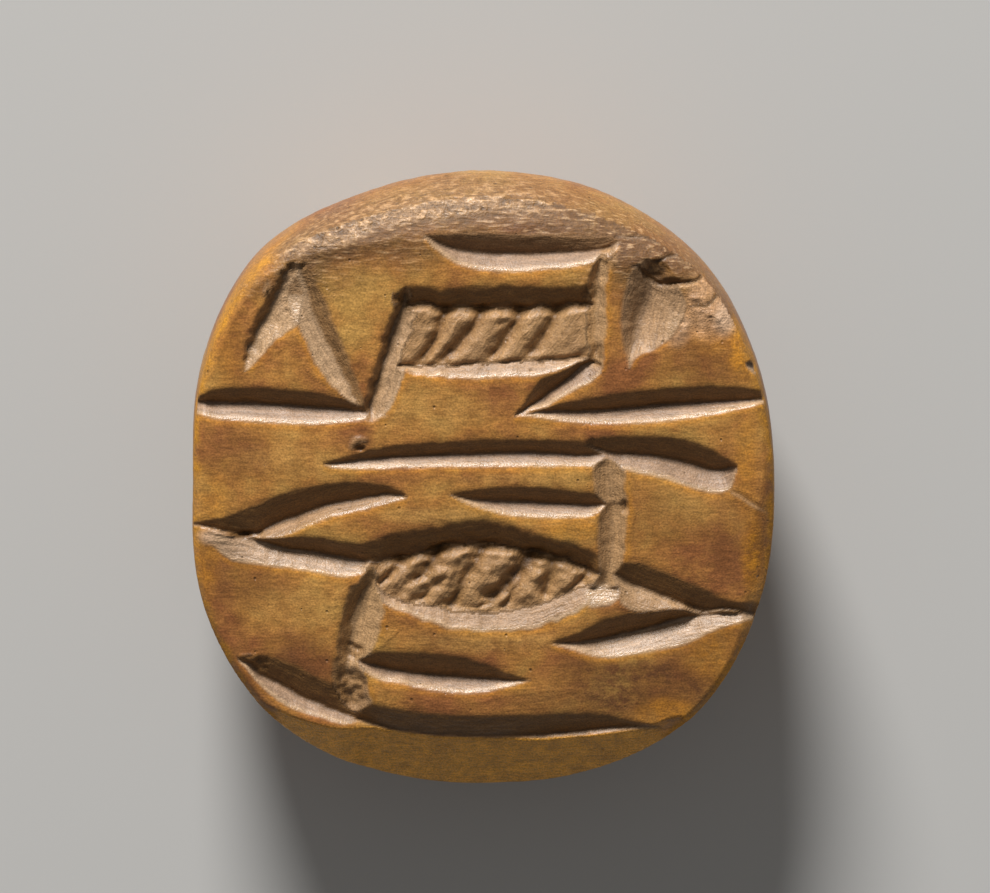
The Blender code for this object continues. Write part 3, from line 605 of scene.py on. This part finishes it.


# Patches of colour in picture pixels: x, y, half width, half height, strength. Brown, amber and fair are
# what age and handling left; the glint patches are painted highlights on paler, glossier bone.
patches = {
    "brown": (
        (640, 688, 120, 42, 1.0), (235, 575, 60, 40, 0.5), (735, 540, 45, 60, 0.4),
        (700, 368, 60, 22, 0.6), (270, 275, 40, 25, 0.4), (235, 455, 35, 35, 0.35),
        (300, 660, 50, 30, 0.6), (700, 640, 50, 30, 0.8), (655, 520, 60, 40, 0.35),
        (450, 640, 60, 12, 0.2), (680, 235, 70, 50, 0.3), (240, 690, 60, 40, 0.7),
        (600, 700, 120, 20, 0.6), (225, 320, 30, 90, 0.35), (360, 444, 17, 12, 0.6),
        (640, 608, 34, 7, 0.9)),
    "amber": (
        (222, 325, 30, 75, 0.3), (745, 350, 25, 35, 1.0), (205, 560, 18, 60, 0.6),
        (255, 262, 30, 34, 0.35), (745, 470, 14, 60, 0.5), (752, 555, 13, 50, 1.0),
        (575, 530, 45, 12, 0.6), (215, 500, 20, 30, 0.4), (715, 655, 35, 30, 0.5),
        (668, 715, 40, 22, 0.6), (720, 340, 40, 22, 0.5)),
    "fair": (
        (430, 515, 60, 12, 0.9), (480, 640, 90, 14, 0.8), (300, 610, 70, 30, 0.4),
        (290, 460, 70, 20, 0.5), (440, 410, 80, 22, 0.5), (520, 480, 90, 8, 0.5), (690, 500, 60, 40, 0.3)),
    "glint": (
        (602, 594, 17, 12, 1.0), (216, 536, 20, 10, 0.9), (296, 315, 8, 14, 0.55),
        (722, 318, 14, 22, 0.8), (676, 330, 16, 22, 0.5)),
}


# Wear of the skin. Directions are in degrees, anticlockwise from the right of the design. Four numbers
# say where a mark starts, is full, fades and ends, two where it is gone and full. The rest is in mm.
wear = {
    "porousTurn": (64, 88, 118, 136),
    "fibrousTurn": (30, 46, 124, 143),
    "fibrousReach": (2.4, 0.4),  # in from the rim
    "porousReach": (0.7, 0.1),
    "sideWear": ((0.6, 0.5, 0.1), (0.65, 0.5, 0.05)),  # pores, fibres: strength, shares down where gone, full
    "sideBrown": 0.3,
    "rimReach": (0.26, 0.0),
    "broken": (708, 305, 38, 40),  # scaled patch, in picture pixels as the patches of colour
    "scaleDepth": 0.035,
    "lumpDepth": 0.06,
    "brokenDepths": (0.03, 0.13, 0.03),  # whole patch, its facets and its splinters
    "cutGrain": (0.010, 0.012),  # tool lines along the cut, and grain
    "skinGrain": 0.004,
    "scraped": 0.05,  # facets on the side
    "dimpled": 0.02,
}


def patchMark(kind, px, py, ragged):
    # Largest of the patches: 1 in the middle, 0 from the edge out, with a ragged edge.
    mark = np.zeros_like(px)
    for *oval, strength in patches[kind]:
        mark = np.maximum(mark, strength * smoothStep(1.15, 0.35, ovalAway(px, py, *oval) + 0.3 * ragged))
    return mark


def amuletSurface(b, w):
    # Square grid (s, t) in -1..1 to a disc: u = s sqrt(1 - t^2 / 2), v = t sqrt(1 - s^2 / 2).
    # The disc's inner faceShare is the face, the rest runs down the side and under to the rest spot.
    s, t = np.meshgrid(np.linspace(-1, 1, b["gridX"] + 1), np.linspace(-1, 1, b["gridY"] + 1))
    u, v = s * np.sqrt(1 - t * t / 2), t * np.sqrt(1 - s * s / 2)
    reach, angle = np.hypot(u, v), np.arctan2(v, u)
    turned = np.degrees(angle)
    rimX, rimY = rimAt(angle, b)
    rimReach = np.hypot(rimX, rimY)
    onSide = reach > b["faceShare"]
    down = np.clip((reach - b["faceShare"]) / (1 - b["faceShare"]), 0, 1)
    inset = 1 - (b["rimInset"] + b["headInset"] * between(turned, *b["headSpread"])) / rimReach

    # Face: crowned, less the edge's drop * (1 - distance from rim / width)^power
    share = np.clip(reach / b["faceShare"], 0, 1)
    fromRim = (1 - share) * rimReach
    x, y = rimX * inset * share, rimY * inset * share
    width, drop = edgeSizes(angle, b)
    bevelWidth, bevel = bevelAt(angle, b)
    width = width + (bevelWidth - width) * bevel
    drop = drop + (b["bevelSlope"] * bevelWidth - drop) * bevel
    power = b["edgePower"] + (b["bevelPower"] - b["edgePower"]) * bevel
    height = faceHeight(x, y, b) - drop * np.clip(1 - fromRim / width, 0, 1) ** power
    px, py = seenAt(x, y, height, camera)
    ragged = layeredNoise(px / 26, py / 18, 5, 4)

    # Side and back: rim to girdle, then a quarter oval down to the rest spot. Masks run ragged there too.
    quarter = math.pi / 2
    toGirdle = np.clip(down / b["girdleShare"], 0, 1)
    turn = np.clip((down - b["girdleShare"]) / (1 - b["girdleShare"]), 0, 1) * quarter
    restShare = b["restWidth"] / b["width"]
    domeShare = restShare + (1 - restShare) * np.cos(turn)
    sideReach = (inset + (1 - inset) * np.sin(toGirdle * quarter)) * domeShare
    drape = 1 - np.cos(toGirdle * quarter) * (1 - 0.5 * toGirdle)  # quarter round, then straight down
    solidHeight = np.where(onSide, height + (b["girdle"] - height) * drape, height)
    solidHeight = solidHeight - b["girdle"] * (1 - np.cos(turn))
    sideRagged = solidNoise(rimX, rimY, solidHeight, 1.1, 84, 4)
    ragged = ragged + (sideRagged - ragged) * smoothStep(0.0, 0.25, down)

    # Worn head: fibres and small scales on the face, and a lumpy porous band that rolls over the rim
    top = between(turned + 12 * ragged, *w["porousTurn"])
    start, full, fading, end = w["fibrousTurn"]
    wide = smoothStep(start, full, turned + 12 * ragged) * smoothStep(end, fading, turned + 14 * ragged)
    broken = smoothStep(1.15, 0.5, ovalAway(px, py, *w["broken"]) + 0.2 * ragged)
    fibrous = wide * smoothStep(*w["fibrousReach"], fromRim + 0.6 * ragged) * (1 - 0.8 * broken)
    pale = top * smoothStep(*w["porousReach"], fromRim + 0.45 * ragged)

    # Carving, averaged over four places in each cell
    parts = [carving(px + dx, py + dy) for dx in (-0.5, 0.5) for dy in (-0.5, 0.5)]
    carved = {key: sum(part[key] for part in parts) / 4 for key in parts[0]}
    flowX, flowY = parts[0]["flowX"], parts[0]["flowY"]
    skin = 1 - carved["cut"]

    lumps = 0.5 - 0.5 * solidNoise(x / 1.7, y, solidHeight, 0.28, 83, 2)
    scales = 0.5 - 0.5 * layeredNoise(x / 0.60, y / 0.20 + 0.7 * ragged, 11, 2)
    facets = np.abs(layeredNoise(px / 24, py / 18, 31, 2))
    splinters = layeredNoise(px / 5, py / 5, 33, 2)
    toolLines, grain = layeredNoise(flowX / 0.5, flowY / 0.09, 41, 2), layeredNoise(px / 4.5, py / 4.5, 51, 2)
    height = height - w["scaleDepth"] * scales * fibrous * (1 - pale) * (1 - 0.7 * carved["cut"])
    height = height - w["lumpDepth"] * lumps * pale * skin
    for depth, pattern in zip(w["brokenDepths"], (1, facets, splinters)):
        height = height - depth * pattern * broken * skin
    height = height - carved["depth"] + w["skinGrain"] * layeredNoise(px / 50, py / 8, 61, 3) * skin
    for depth, pattern in zip(w["cutGrain"], (toolLines, grain)):
        height = height + depth * pattern * carved["cut"] * (1 - carved["lip"])

    sideHeight = np.where(turn > 0, b["girdle"] * (1 - np.sin(turn)), height + (b["girdle"] - height) * drape)
    x, y = np.where(onSide, rimX * sideReach, x), np.where(onSide, rimY * sideReach, y)
    height = np.where(onSide, sideHeight, height)
    height = np.where(reach > 0.9999, 0, height)  # the last ring lies on the floor

    # Scraped facets, small dimples and the porous head on the side, always inwards
    inward = w["scraped"] * (0.5 + 0.5 * solidNoise(x, y, height, 3.0, 81, 2)) * smoothStep(0, 0.3, down)
    inward = inward + w["dimpled"] * (0.5 + 0.5 * solidNoise(x, y, height, 0.35, 82, 3))
    inward = inward + w["lumpDepth"] * lumps * top * smoothStep(0.6, 0.4, down)
    inward = np.where(onSide, inward * smoothStep(1.0, 0.9, down), 0)
    x, y = x * (1 - inward / rimReach), y * (1 - inward / rimReach)
    height = height + np.where(onSide & (turn > 0), inward * np.sin(turn), 0) * (height > 0.01)

    # Marks for the material, as (on the face, on the side)
    onFoot = smoothStep(270, 290, px + 6 * ragged) * smoothStep(672, 652, px + 8 * ragged) * (turned < 0)
    intoFoot = smoothStep(-1.0, 1.5, py - curveAt(*zip(*b["bevelBorder"]), px))
    onRim = smoothStep(*w["rimReach"], fromRim + 0.2 * ragged), smoothStep(0.38, 0.06, down + 0.08 * ragged)
    low = down + 0.1 * ragged
    porousSide, fibrousSide = (most * smoothStep(gone, full, low) for most, gone, full in w["sideWear"])
    kinds = ("brown", "amber", "fair", "glint")
    brown, amber, fair, glint = (patchMark(kind, px, py, ragged) for kind in kinds)
    marks = {key: (carved[key], 0) for key in ("cut", "shade", "lip", "dirt", "warm", "fringe")}
    marks.update(pale=(pale * skin, top * porousSide), fibrous=(fibrous, wide * fibrousSide),
                 broken=(broken * skin, 0), rim=onRim, olive=(intoFoot, smoothStep(0.5, 0.2, down)),
                 brown=(brown, w["sideBrown"]), amber=(amber, amber * smoothStep(0.4, 0.1, down)),
                 fair=(fair, 0), glint=(glint, 0))
    marks = {key: np.where(onSide, side, face) for key, (face, side) in marks.items()}
    marks["olive"] = marks["olive"] * onFoot
    marks["rim"] = marks["rim"] * (1 - wide) * (1 - marks["olive"])
    # glint patches on cuts add painted highlight with burnish
    marks["lip"] = np.maximum(marks["lip"], marks["glint"] * marks["cut"])
    return dict(x=x, y=y, z=height, marks=marks, flow=np.stack([flowX, flowY, 0 * px]))


def meshFromGrid(surface, name):
    # One quad for each grid cell, and one flat face to close the rest spot.
    rows, columns = surface["x"].shape
    places = np.stack([surface[k].ravel() for k in "xyz"], 1) * mm
    index = np.arange(rows * columns).reshape(rows, columns)
    quads = np.stack([index[:-1, :-1], index[:-1, 1:], index[1:, 1:], index[1:, :-1]], -1).reshape(-1, 4)
    rest = np.concatenate([index[:-1, 0], index[-1, :-1], index[:0:-1, -1], index[0, :0:-1]])
    mesh = bpy.data.meshes.new(name)
    mesh.from_pydata(places.tolist(), [], quads.tolist() + [rest.tolist()])
    for mark, values in surface["marks"].items():
        layer = mesh.attributes.new(mark, "FLOAT", "POINT")
        layer.data.foreach_set("value", np.clip(values, 0, 1).ravel().astype(np.float32))
    layer = mesh.attributes.new("flow", "FLOAT_VECTOR", "POINT")
    layer.data.foreach_set("vector", (surface["flow"].reshape(3, -1).T * mm).ravel().astype(np.float32))
    mesh.shade_smooth()
    return mesh


def stringHole(b):
    # Drill along X: rings of bore radius + flare * mouth shape, which widens at both mouths.
    bore, sides = b["holeWidth"] / 2, b["holeSides"]
    centre = b["holeFloor"] + bore
    half, reachIn = b["width"] / 2, b["mouthDepth"]
    mouth = np.array([half + reachIn, half, half - reachIn / 2, half - reachIn])
    along = np.concatenate([-mouth, mouth[::-1]])
    flare = np.array(b["mouthShape"] + b["mouthShape"][::-1]) * b["mouthFlare"]
    x, a = np.meshgrid(along, np.arange(sides) * math.tau / sides, indexing="ij")
    radius = bore + flare[:, None]
    places = np.stack([x, radius * np.cos(a), centre + radius * np.sin(a)], -1).reshape(-1, 3) * mm
    index = np.arange(len(places)).reshape(len(along), sides)
    after = np.roll(index, -1, 1)
    quads = np.stack([index[:-1], after[:-1], after[1:], index[1:]], -1).reshape(-1, 4)
    mesh = bpy.data.meshes.new("stringHole")
    mesh.from_pydata(places.tolist(), [], quads.tolist() + [index[0].tolist(), index[-1].tolist()])
    bm = bmesh.new()
    bm.from_mesh(mesh)
    bmesh.ops.recalc_face_normals(bm, faces=bm.faces)
    bm.to_mesh(mesh)
    bm.free()
    # the bore is painted with shaded cut colour and with dirt and painted shade
    for mark, value in (("cut", 1.0), ("shade", 0.8), ("dirt", 0.6)):
        mesh.attributes.new(mark, "FLOAT", "POINT").data.foreach_set("value", [value] * len(places))
    return mesh


def drilled(obj, cutterMesh):
    # The amulet less the drill, as a plain mesh.
    cutter = bpy.data.objects.new("stringHole", cutterMesh)
    bpy.context.scene.collection.objects.link(cutter)
    modifier = obj.modifiers.new("stringHole", "BOOLEAN")
    modifier.object = cutter
    modifier.solver = "EXACT"
    whole = bpy.context.evaluated_depsgraph_get()
    made = bpy.data.meshes.new_from_object(obj.evaluated_get(whole))
    obj.modifiers.clear()
    obj.data = made
    made.name = obj.name
    bpy.data.objects.remove(cutter)


# Materials


def addNode(tree, kind, settings=None, links=None):
    # A node with its settings, which are properties or sockets, and with what feeds its sockets. A
    # source that is a node gives its first live output.
    made = tree.nodes.new("ShaderNode" + kind)
    known = made.bl_rna.properties

    def socket(name):
        if isinstance(name, int):
            return made.inputs[name]
        return next(i for i in made.inputs if i.name == name and i.enabled)

    for name, value in sorted((settings or {}).items(), key=lambda item: str(item[0]) not in known):
        if name == "stops":
            ramp = made.color_ramp
            while len(ramp.elements) < len(value):
                ramp.elements.new(0.5)
            for element, (place, hexCode) in zip(ramp.elements, value):
                element.position, element.color = place, linearColour(hexCode)
        elif str(name) in known:
            setattr(made, name, value)
        else:
            socket(name).default_value = value
    for name, source in (links or {}).items():
        if isinstance(source, bpy.types.Node):
            source = next(o for o in source.outputs if o.enabled)
        tree.links.new(source, socket(name))
    return made


def perMm(size):
    # Noise scale whose features are about this many mm wide
    return 1 / (size * mm)


bone = {
    "honey": ("#985f33", "#b47c3c", "#c2924b"),  # polished face, dark to light patches
    "honeyStops": (0.36, 0.5, 0.64),
    "fair": "#c4924e",
    "brown": "#6b4424",  # stained patches
    "amber": "#ca8626",  # where the rim and the lips wore thin
    "rim": "#c4861f",
    # the bevel's olive-yellow bone is made brighter as painted bounce light from the ground
    "olive": "#eba63a",  # bevel at the foot
    "fibrous": "#64421f",
    "pale": "#94704a",  # porous worn head
    "glintFleck": "#cfa87c",  # bare fibres and lumps on the head, made paler as painted glints
    "broken": "#bd9168",
    # painted highlight on paler bone, for the glint patches
    "glint": "#cfac8c",
    # lit copy of the cut's colour, paler than the old face; walls away from the light mix in shadeCut
    "litCut": "#9a7b60",  # gouged bone, paler than the old face
    "warmCut": "#b48b5c",  # gouges that darkened again
    "shadeCut": "#80592c",  # painted shade, with brown patina, on the gouge walls that face away from the light
    # painted highlight with burnish, on lit lower lips and scraped lit walls
    "lip": "#bc9b78",
    # dirt and painted shade in creases, cracks, grooves, crumbs and the bore; also the darkening of pores
    "dirt": "#2a190c",
    # least share of each layer of colour where the mottling is dark
    "patchiness": (("olive", 0.9), ("fair", 0.4), ("fibrous", 0.75), ("pale", 0.4), ("brown", 0.35),
                   ("amber", 0.25), ("rim", 0.55), ("broken", 0.7), ("glint", 0.8)),
    # how far each pattern darkens and lightens the face, and the cuts
    "faceTones": (("mottle", 0.83, 1.16), ("fibre", 0.80, 1.15), ("grain", 0.75, 1.21)),
    "cutTones": (("streak", 0.80, 1.18), ("grain", 0.78, 1.20)),
    "headLumpLightAndShade": (("fibrous", 0.6), ("pale", 1.1)),  # painted light on the lumps' tops, and painted shade with dirt in their hollows, for the two worn parts
    # ranges of a pattern, and the shares that they turn into: bare fibres and lumps made paler as painted
    # glints, and patchy dirt and painted shade
    "fibreGlints": (0.54, 0.70, 0.0, 0.55),
    "lumpGlints": (0.54, 0.66, 0.0, 0.5),
    "patchyDirtAndShade": (0.35, 0.65, 0.95, 0.6),
    "poreDark": (0.5, 0.4),  # how much darker a pore is painted, and what the porous head adds
    # patterns: size in mm, the space that they run in, detail and roughness of the noise
    "patterns": (("patch", 2.6, "even", 4, 0.62), ("mottle", 0.45, "even", 4, 0.7),
                 ("grain", 0.055, "even", 2, 0.5), ("streak", 0.09, "along", 3, 0.55),
                 ("fibre", 0.085, "level", 3, 0.5), ("lump", 0.16, "wide", 3, 0.5)),
    # spaces: streaks follow the stroke, fibres and lumps lie across the face
    "spaces": (("along", "flow", (0.14, 1, 1)), ("level", "even", (0.20, 1, 1)),
               ("wide", "even", (0.7, 1, 0.8))),
    "poreSpacing": 0.34,
    "poreSize": 0.045,
    "poreDepth": 0.03,
    "headPores": 0.09,  # how much wider pores are on the head, as a share of their spacing
    "polish": 0.38,  # roughness of the face, the cuts, and the lips and bare spots
    "matte": 0.50,
    "burnish": 0.29,
    "unevenGloss": (0.35, 0.65, -0.05, 0.07),
    "rimDull": 0.38,  # roughness that the rim and frayed fibres add
    "frayedDull": 0.30,
    "glitter": (0.35, 0.9),  # how far the porous head and its bare spots count as burnished
    "sheen": 0.45,  # specular level
    "ior": 1.54,
    # fine relief: pattern, the mark that carries it and its height in mm
    "relief": (("streak", "cut", 0.034), ("fibre", "fibrous", 0.018), ("fibre", "smooth", 0.006),
               ("lump", "pale", 0.05), ("lump", "fibrous", 0.03), ("lump", "glint", 0.05),
               ("grain", "pale", 0.012), ("grain", "olive", 0.028), ("lump", "warm", 0.025),
               ("grain", "rough", 0.018), ("grain", "smooth", 0.008), ("mottle", "smooth", 0.012)),
}


def boneMaterial(m):
    # Bone with an old honey patina. The face is rubbed smooth and keeps a soft gloss. The gouges are
    # paler and matte with fine lines along the stroke, burnished and painted with a highlight on their lower
    # lip, and painted with shade and patina on the walls that face away from the light. The head is worn
    # down to porous bone that glitters between dull frayed fibres, with paler flecks as painted glints.
    # Bone's IOR is about 1.54.
    material = bpy.data.materials.new("polishedBone")
    material.use_nodes = True
    tree = material.node_tree
    shader = tree.nodes["Principled BSDF"]
    add = partial(addNode, tree)
    times, timesPlus, larger, less = (
        {"operation": name} for name in ("MULTIPLY", "MULTIPLY_ADD", "MAXIMUM", "SUBTRACT"))
    mixed = {"data_type": "RGBA"}
    toned = {**mixed, "blend_type": "MULTIPLY", "Factor": 1.0}
    ranges = ("From Min", "From Max", "To Min", "To Max")

    names = ("cut", "shade", "lip", "dirt", "warm", "fringe", "pale", "fibrous", "broken", "rim", "olive",
             "brown", "amber", "fair", "glint")
    mark = {name: add("Attribute", {"attribute_name": name}).outputs["Fac"] for name in names}
    space = {"even": add("TexCoord").outputs["Object"],
             "flow": add("Attribute", {"attribute_name": "flow"}).outputs["Vector"]}
    for name, source, scale in m["spaces"]:
        space[name] = add("Mapping", {"Scale": scale}, {"Vector": space[source]})
    pattern = {}
    for name, size, run, detail, rough in m["patterns"]:
        settings = {"Scale": perMm(size), "Detail": detail, "Roughness": rough}
        pattern[name] = add("TexNoise", settings, {"Vector": space[run]})

    # Pores, each of its own size and some closed: 1 in the middle, 0 from their reach out
    pores = add("TexVoronoi", {"Scale": perMm(m["poreSpacing"])}, {"Vector": space["even"]})
    poreKind = add("SeparateColor", None, {"Color": pores.outputs["Color"]})
    poreShare = m["poreSize"] / m["poreSpacing"]
    poreReach = add("Math", {**timesPlus, 1: 4 * poreShare, 2: 0.004 - 2.4 * poreShare}, {0: poreKind})
    poreReach = add("Math", {**timesPlus, 1: m["headPores"]}, {0: mark["pale"], 2: poreReach})
    poreReach = add("Math", {**larger, 1: 0.001}, {0: poreReach})
    pore = add("MapRange", {"To Min": 1.0, "To Max": 0.0}, {"Value": pores, "From Max": poreReach})

    tones = {}
    for part in ("faceTones", "cutTones"):
        for name, low, high in m[part]:
            step = add("MapRange", dict(zip(ranges, (0.33, 0.67, low, high))), {"Value": pattern[name]})
            tones[part] = add("Math", times, {0: tones[part], 1: step}) if part in tones else step

    # The face: honey, each layer over it, flecks made paler as painted glints, and painted light and shade
    # on the head's lumps, with dirt in its hollows
    honey = add("ValToRGB", {"stops": tuple(zip(m["honeyStops"], m["honey"]))}, {"Fac": pattern["patch"]})
    mark["amber"] = add("Math", larger, {0: mark["amber"], 1: mark["fringe"]})
    for name, least in m["patchiness"]:
        patchy = add("MapRange", dict(zip(ranges, (0.35, 0.6, least, 1.0))), {"Value": pattern["mottle"]})
        share = add("Math", times, {0: mark[name], 1: patchy})
        honey = add("Mix", {**mixed, "B": linearColour(m[name])}, {"Factor": share, "A": honey})
    glintFleck = add("MapRange", dict(zip(ranges, m["fibreGlints"])), {"Value": pattern["fibre"]})
    glintFleck = add("Math", times, {0: glintFleck, 1: mark["fibrous"]})
    crest = add("MapRange", dict(zip(ranges, m["lumpGlints"])), {"Value": pattern["lump"]})
    crest = add("Math", times, {0: crest, 1: mark["pale"]})
    glintFleck = add("Math", larger, {0: glintFleck, 1: crest})
    honey = add("Mix", {**mixed, "B": linearColour(m["glintFleck"])}, {"Factor": glintFleck, "A": honey})
    lumpLightAndShade = add("Math", {**less, 1: 0.5}, {0: pattern["lump"]})
    tone = tones["faceTones"]
    for name, strength in m["headLumpLightAndShade"]:
        share = add("Math", {**times, 1: strength}, {0: mark[name]})
        tone = add("Math", timesPlus, {0: share, 1: lumpLightAndShade, 2: tone})
    tone = add("Math", {**larger, 1: 0.5}, {0: tone})
    honey = add("Mix", toned, {"A": honey, "B": tone})

    # The cuts, with painted highlight on lit lips and painted shade on walls away from the light, then
    # dirt and painted shade in corners, and darker pores
    cut = {**mixed, "A": linearColour(m["litCut"]), "B": linearColour(m["warmCut"])}
    cut = add("Mix", cut, {"Factor": mark["warm"]})
    for name, colour in (("lip", "lip"), ("shade", "shadeCut")):
        cut = add("Mix", {**mixed, "B": linearColour(m[colour])}, {"Factor": mark[name], "A": cut})
    cut = add("Mix", toned, {"A": cut, "B": tones["cutTones"]})
    whole = add("Mix", mixed, {"Factor": mark["cut"], "A": honey, "B": cut})
    poreDark = add("Math", {**timesPlus, 1: m["poreDark"][1], 2: m["poreDark"][0]}, {0: mark["pale"]})
    poreDark = add("Math", times, {0: pore, 1: poreDark})
    dirt = add("MapRange", dict(zip(ranges, m["patchyDirtAndShade"])), {"Value": pattern["mottle"]})
    dirt = add("Math", times, {0: mark["dirt"], 1: dirt})
    dirt = add("Math", larger, {0: dirt, 1: poreDark})
    whole = add("Mix", {**mixed, "B": linearColour(m["dirt"])}, {"Factor": dirt, "A": whole})
    tree.links.new(whole.outputs[2], shader.inputs["Base Color"])

    # Gloss: polished to matte by the cut, burnished where it glitters, duller on the rim and frayed fibres
    glitter = add("Math", larger, {0: mark["lip"], 1: mark["glint"]})
    for source, strength in zip((mark["pale"], glintFleck), m["glitter"]):
        glitter = add("Math", {**timesPlus, 1: strength, "use_clamp": True}, {0: source, 2: glitter})
    gloss = add("MapRange", {"To Min": m["polish"], "To Max": m["matte"]}, {"Value": mark["cut"]})
    gloss = add("Mix", {"B": m["burnish"]}, {"Factor": glitter, "A": gloss})
    uneven = add("MapRange", dict(zip(ranges, m["unevenGloss"])), {"Value": pattern["mottle"]})
    gloss = add("Math", {"operation": "ADD"}, {0: gloss, 1: uneven})
    frayed = add("Math", {**less, "use_clamp": True}, {0: mark["fibrous"], 1: glitter})
    for source, more in ((mark["rim"], m["rimDull"]), (frayed, m["frayedDull"])):
        gloss = add("Math", {**timesPlus, 1: more}, {0: source, 2: gloss})
    tree.links.new(gloss.outputs[0], shader.inputs["Roughness"])
    shader.inputs["IOR"].default_value = m["ior"]
    shader.inputs["Specular IOR Level"].default_value = m["sheen"]

    # Fine relief in mm: each pattern times its mark and its height, all added up
    mark["smooth"] = add("Math", {**less, 0: 1.0}, {1: mark["cut"]})
    mark["rough"] = add("Math", larger, {0: mark["cut"], 1: mark["broken"]})
    rise = add("Math", {**times, 1: -m["poreDepth"]}, {0: pore})
    for name, carrier, depth in m["relief"]:
        share = add("Math", {**times, 1: depth}, {0: mark[carrier]})
        rise = add("Math", timesPlus, {0: pattern[name], 1: share, 2: rise})
    relief = add("Bump", {"Strength": 1.0, "Distance": mm}, {"Height": rise})
    tree.links.new(relief.outputs[0], shader.inputs["Normal"])
    return material


amulet = bpy.data.objects.new("carvedAmulet", meshFromGrid(amuletSurface(button, wear), "carvedAmulet"))
bpy.context.scene.collection.objects.link(amulet)
print("surface made:", len(amulet.data.polygons), "faces")
drilled(amulet, stringHole(button))
print("string hole drilled:", len(amulet.data.polygons), "faces")
amulet.data.materials.clear()
amulet.data.materials.append(boneMaterial(bone))
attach(amulet, "root")
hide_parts("seal_amulet")


# Floor and light

stage = {
    "floor": "#c9c7c3",
    "floorRoughness": 0.9,
    "floorSize": 1.2,  # m
    "keyFrom": (-0.17, 0.88, 0.42),
    "keyAway": 0.45,  # m
    "keySize": 0.15,
    "keyPower": 3.2,  # W
    "fill": 0.16,
}


def makeStage(s):
    # A pale card at z = 0, a round key light low over the head of the design, and an even fill
    mesh = bpy.data.meshes.new("floor")
    half = s["floorSize"] / 2
    corners = [(-half, -half, 0), (half, -half, 0), (half, half, 0), (-half, half, 0)]
    mesh.from_pydata(corners, [], [(0, 1, 2, 3)])
    floor = bpy.data.objects.new("floor", mesh)
    bpy.context.scene.collection.objects.link(floor)
    material = bpy.data.materials.new("paleCard")
    material.use_nodes = True
    shader = material.node_tree.nodes["Principled BSDF"]
    shader.inputs["Base Color"].default_value = linearColour(s["floor"])
    shader.inputs["Roughness"].default_value = s["floorRoughness"]
    mesh.materials.append(material)

    towards = Vector(s["keyFrom"]).normalized()
    light = bpy.data.lights.new("key", "AREA")
    light.shape = "DISK"
    light.size = s["keySize"]
    light.energy = s["keyPower"]
    lamp = bpy.data.objects.new("key", light)
    lamp.location = towards * s["keyAway"]
    lamp.rotation_euler = towards.to_track_quat("Z", "Y").to_euler()
    bpy.context.scene.collection.objects.link(lamp)

    world = bpy.data.worlds.new("studio")
    world.use_nodes = True
    world.node_tree.nodes["Background"].inputs["Color"].default_value = (s["fill"],) * 3 + (1.0,)
    bpy.context.scene.world = world
    bpy.context.scene.view_settings.view_transform = "Standard"


makeStage(stage)
print("stage set")
